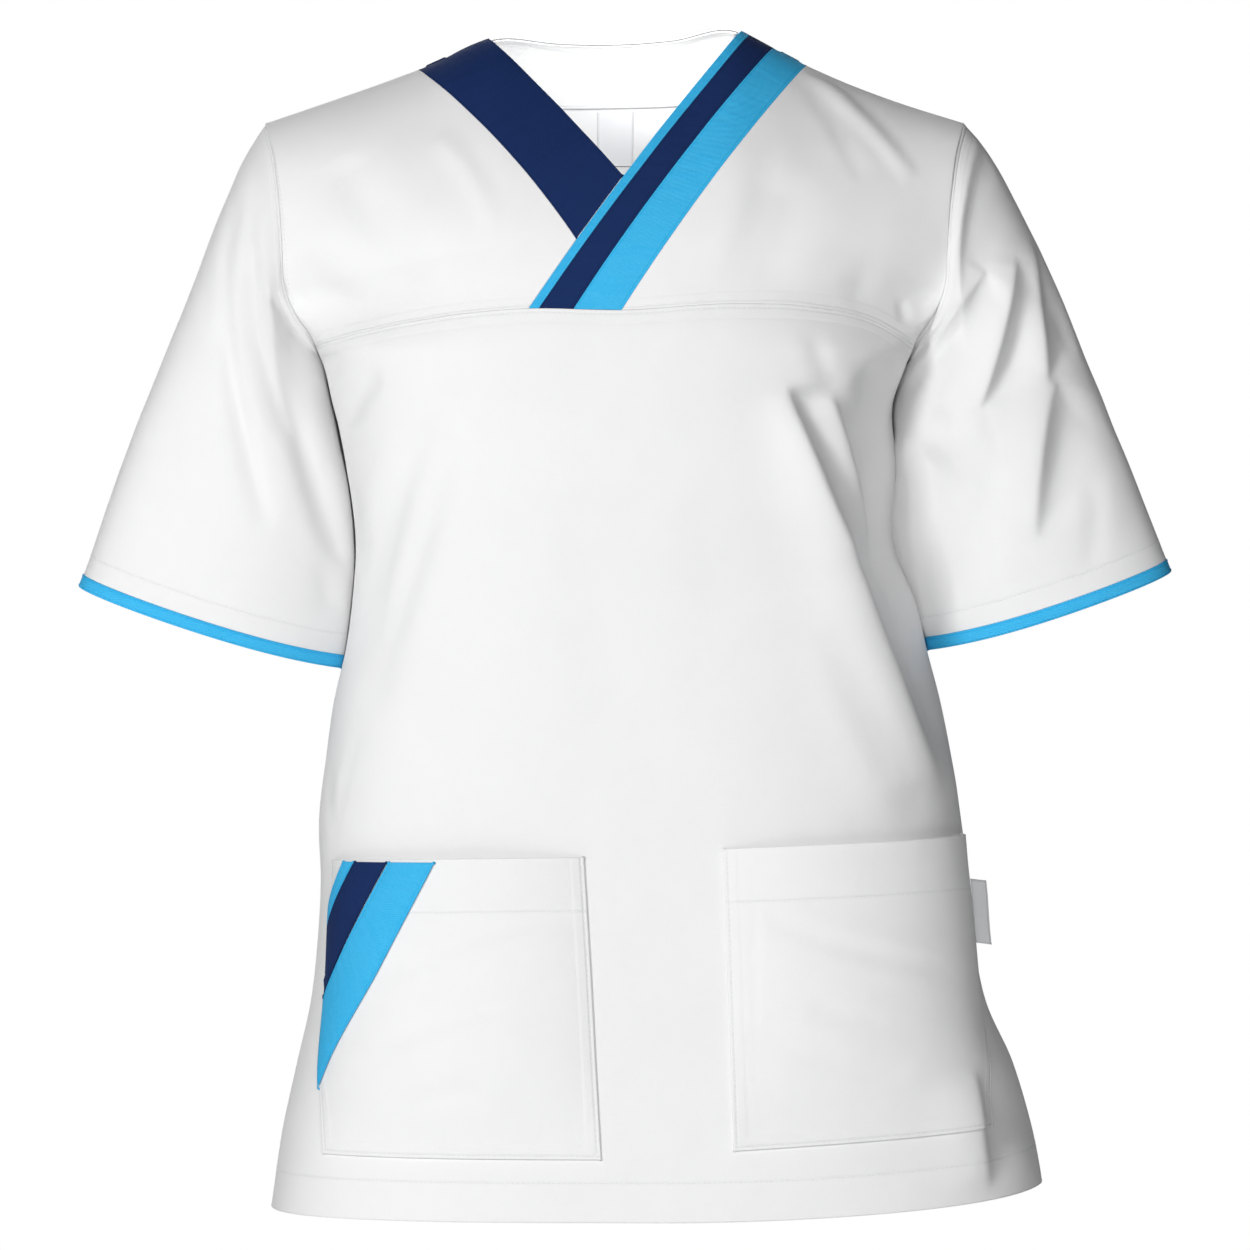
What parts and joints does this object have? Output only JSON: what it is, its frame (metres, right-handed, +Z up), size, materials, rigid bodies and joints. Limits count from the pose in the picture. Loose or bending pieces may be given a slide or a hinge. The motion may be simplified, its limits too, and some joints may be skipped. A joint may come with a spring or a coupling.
{
  "type": "medical tunic",
  "caption": "Hollow short-sleeved medical tunic with a crossed V-neck, striped neck bands, bound cuffs and patch pockets, filled out as worn.",
  "frame": {"origin": "midway between the two neck points, at the height where the shoulders start, where a wearer's or a form's shoulders hold it", "axes": "+X to the wearer's left, -Y to the front, +Z up the height of the tunic"},
  "size_m": [0.6544, 0.2483, 0.7056],
  "materials": {
    "white_cloth": "fine plain-weave poly-cotton, soft matt",
    "light_blue_twill": "fine ribbed twill, soft matt",
    "navy_twill": "fine twill, soft matt",
    "label_satin": "smooth satin tape"
  },
  "bodies": {
    "root": {"front_panel": "white_cloth", "back_panel": "white_cloth", "front_yoke_right": "white_cloth", "front_yoke_left": "white_cloth", "back_neck_facing": "white_cloth", "sleeve_right": "white_cloth", "sleeve_left": "white_cloth", "pocket_right": "white_cloth", "pocket_left": "white_cloth", "cuff_binding_right": "light_blue_twill", "cuff_binding_left": "light_blue_twill", "neck_band_navy": "navy_twill", "neck_strip_piping": "light_blue_twill", "neck_strip_navy": "navy_twill", "neck_strip_blue": "light_blue_twill", "pocket_tape_piping": "light_blue_twill", "pocket_tape_navy": "navy_twill", "pocket_tape_blue": "light_blue_twill", "neck_label": "label_satin", "side_label": "label_satin"}
  },
  "joints": []
}
